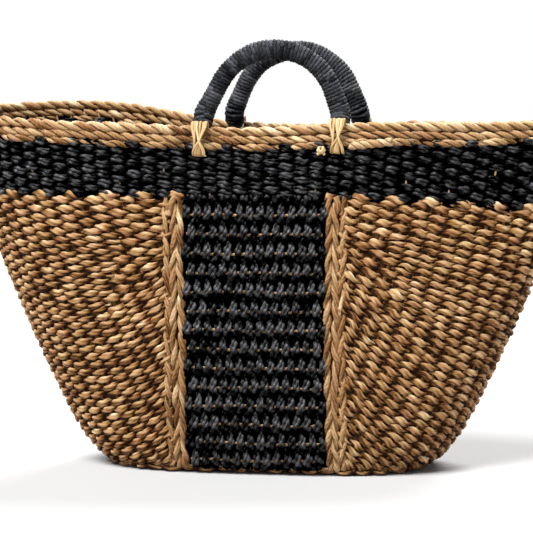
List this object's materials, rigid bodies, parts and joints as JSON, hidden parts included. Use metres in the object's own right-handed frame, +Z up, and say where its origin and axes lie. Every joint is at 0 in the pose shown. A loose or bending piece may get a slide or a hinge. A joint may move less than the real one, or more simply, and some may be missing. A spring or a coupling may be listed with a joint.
{
  "type": "woven market basket",
  "caption": "Flared woven seagrass market basket with a black band, black centre panels, a roped rim and two swinging wrapped arch handles.",
  "frame": {"origin": "on the ground under the middle of the basket's overall box", "axes": "+X along the mouth's length, -Y towards the front panel, +Z up"},
  "size_m": [0.639, 0.2226, 0.423],
  "materials": {
    "natural_seagrass": "twisted seagrass, matt with a dry sheen",
    "stake_grass": "plain grass cord, matt",
    "black_cord": "dyed black cord, matt",
    "handle_cord": "thin charcoal cotton cord, wound close",
    "handle_core_rope": "plain rope",
    "raffia": "pale raffia, satin"
  },
  "bodies": {
    "basket": {"base_weave": "natural_seagrass", "left_side_weave": "natural_seagrass", "right_side_weave": "natural_seagrass", "front_centre_panel": "black_cord", "back_centre_panel": "black_cord", "black_band": "black_cord", "rim_rope_top": "natural_seagrass", "rim_rope_middle": "natural_seagrass", "rim_rope_lower": "natural_seagrass", "wall_stakes": "stake_grass", "front_panel_warps": "stake_grass", "back_panel_warps": "stake_grass", "floor_stakes": "stake_grass", "splice_tail": "natural_seagrass", "tie_knot": "raffia", "front_left_lashing": "raffia", "front_left_handle_tail": "handle_core_rope", "front_right_lashing": "raffia", "front_right_handle_tail": "handle_core_rope", "back_left_lashing": "raffia", "back_left_handle_tail": "handle_core_rope", "back_right_lashing": "raffia", "back_right_handle_tail": "handle_core_rope"},
    "front_handle": {"front_handle_core": "handle_core_rope", "front_handle_wrap": "handle_cord"},
    "back_handle": {"back_handle_core": "handle_core_rope", "back_handle_wrap": "handle_cord"}
  },
  "joints": [
    {"name": "front_handle_swing", "type": "hinge", "parent": "basket", "child": "front_handle", "pos_m": [0.012, -0.06377, 0.351], "axis": [0.9937, 0.1125, 0], "range_deg": [-45, 55]},
    {"name": "back_handle_swing", "type": "hinge", "parent": "basket", "child": "back_handle", "pos_m": [0.016, 0.0631, 0.351], "axis": [0.9939, -0.1107, 0], "range_deg": [-55, 45]}
  ]
}
